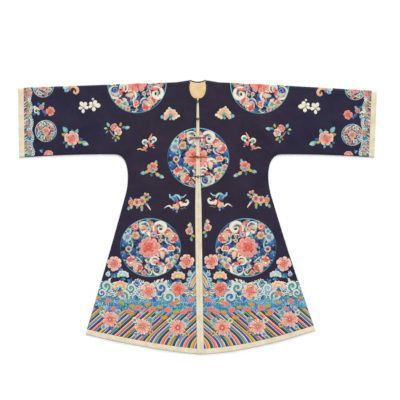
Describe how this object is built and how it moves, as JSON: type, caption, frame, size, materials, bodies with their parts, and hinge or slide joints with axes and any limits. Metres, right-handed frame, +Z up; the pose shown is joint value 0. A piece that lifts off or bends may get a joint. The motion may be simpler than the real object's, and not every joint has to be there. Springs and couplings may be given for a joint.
{
  "type": "embroidered surcoat",
  "caption": "Long dark satin surcoat laid out flat, with wide straight sleeves, a round neck, a buttoned front opening, cream edgings and an embroidered hem border.",
  "frame": {"origin": "centre of the underside's bounding box, on the surface that the coat lies on", "axes": "+X to the viewer's right along the sleeves, +Y from the hem to the neck, +Z up from the surface to the coat's front"},
  "size_m": [1.8462, 1.411, 0.014],
  "materials": {
    "satin": "dark aubergine-navy silk satin with coloured silk embroidery",
    "cream_silk": "cream silk edging with a soft sheen",
    "lining_silk": "thin straw-coloured silk lining",
    "dark_cord": "narrow dark silk binding and loops",
    "brass": "worn brass with a dull shine"
  },
  "bodies": {
    "root": {"body_left": "satin", "body_right": "satin", "sleeve_left": "satin", "sleeve_right": "satin", "cuff_edging_left": "cream_silk", "cuff_edging_right": "cream_silk", "hem_edging_left": "cream_silk", "hem_edging_right": "cream_silk", "front_edging_left": "cream_silk", "front_edging_right": "cream_silk", "neck_binding_left": "dark_cord", "neck_binding_right": "dark_cord", "neck_binding_back": "dark_cord", "neck_lining": "lining_silk", "loop_1": "dark_cord", "loop_2": "dark_cord", "loop_3": "dark_cord", "loop_4": "dark_cord", "loop_5": "dark_cord", "button_bar_1": "dark_cord", "button_bar_2": "dark_cord", "button_bar_3": "dark_cord", "button_bar_4": "dark_cord", "button_bar_5": "dark_cord", "button_1": "brass", "button_2": "brass", "button_3": "brass", "button_4": "brass", "button_5": "brass"}
  },
  "joints": []
}
